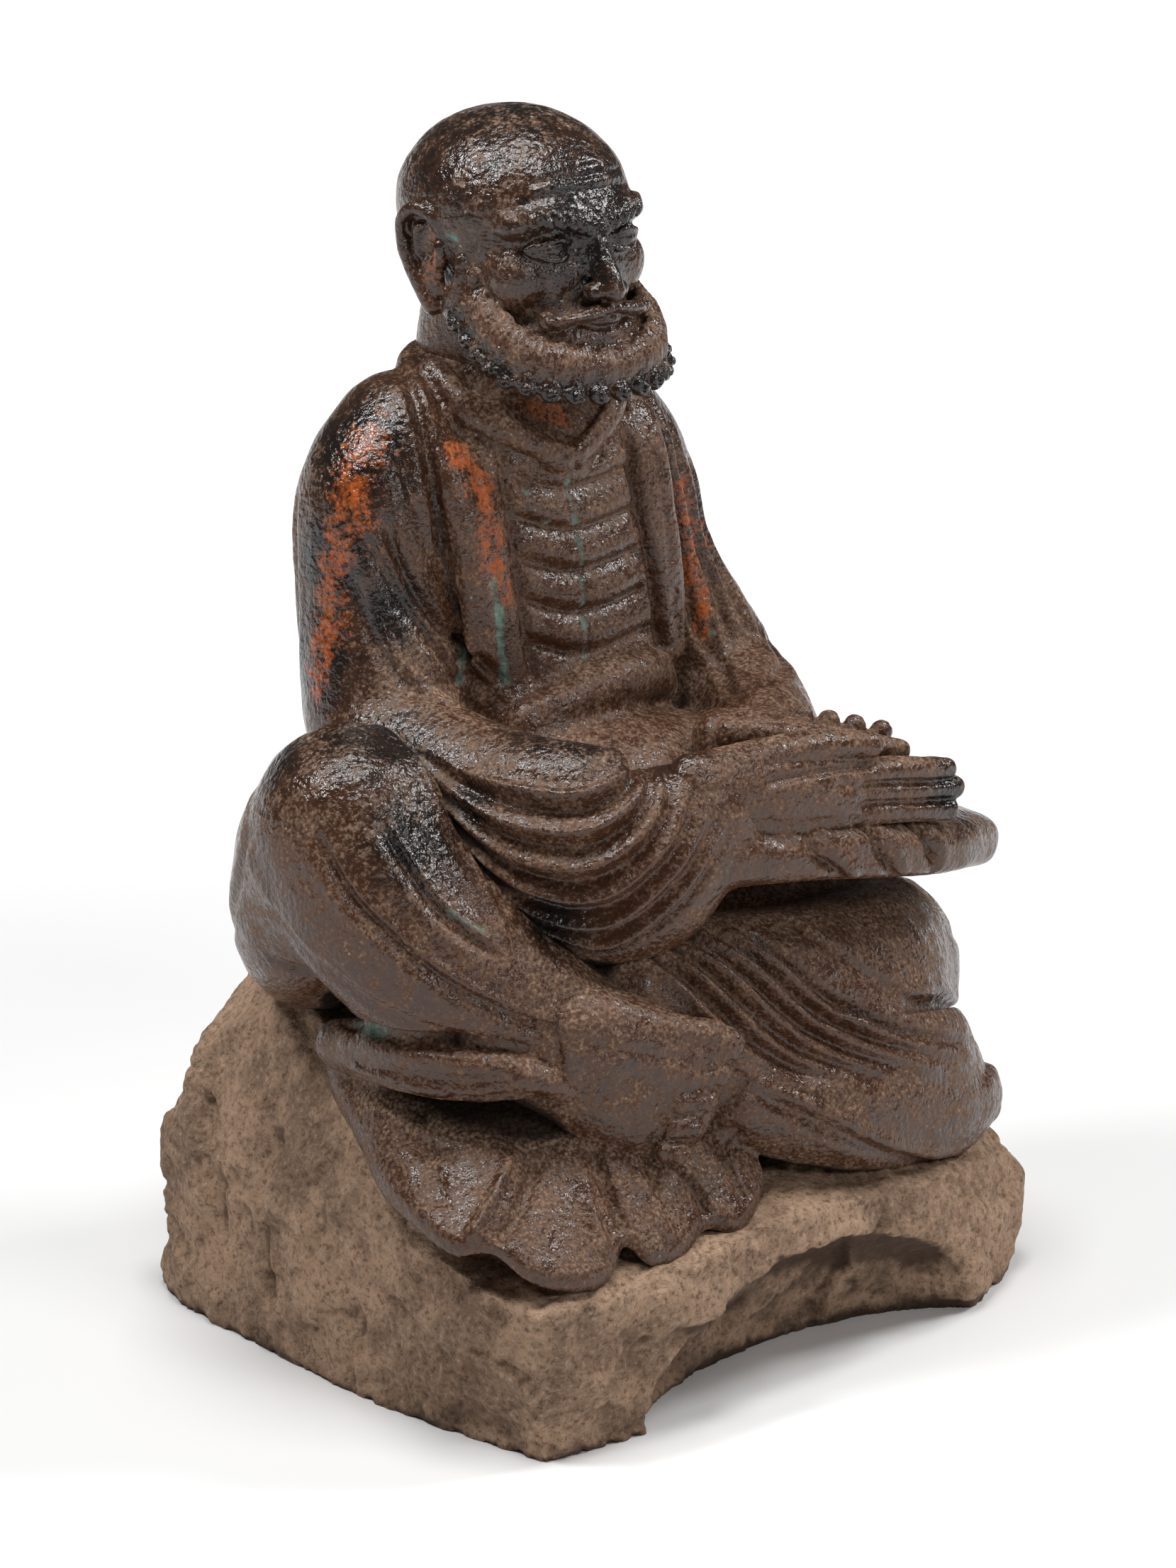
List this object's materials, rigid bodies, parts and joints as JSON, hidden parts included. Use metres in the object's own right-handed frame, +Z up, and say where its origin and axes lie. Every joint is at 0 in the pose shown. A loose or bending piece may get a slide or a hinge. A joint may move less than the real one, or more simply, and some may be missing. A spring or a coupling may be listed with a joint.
{
  "type": "carved stone seated figure",
  "caption": "Bearded elder in a loose robe, seated with one knee raised and hands laid on a lap of cloth, carved in one block with its rough rock",
  "frame": {"origin": "middle of the flat underside of the rock, on the ground", "axes": "+Z up; the figure faces -Y; its right hand and raised knee are towards -X"},
  "size_m": [0.3958, 0.3067, 0.5959],
  "materials": {
    "lacquered_stone": "grey-brown stone, bare and chiselled on the rock, under a dark worn lacquer with dust in the folds on the figure"
  },
  "bodies": {
    "root": {"seated_figure": "lacquered_stone"}
  },
  "joints": []
}
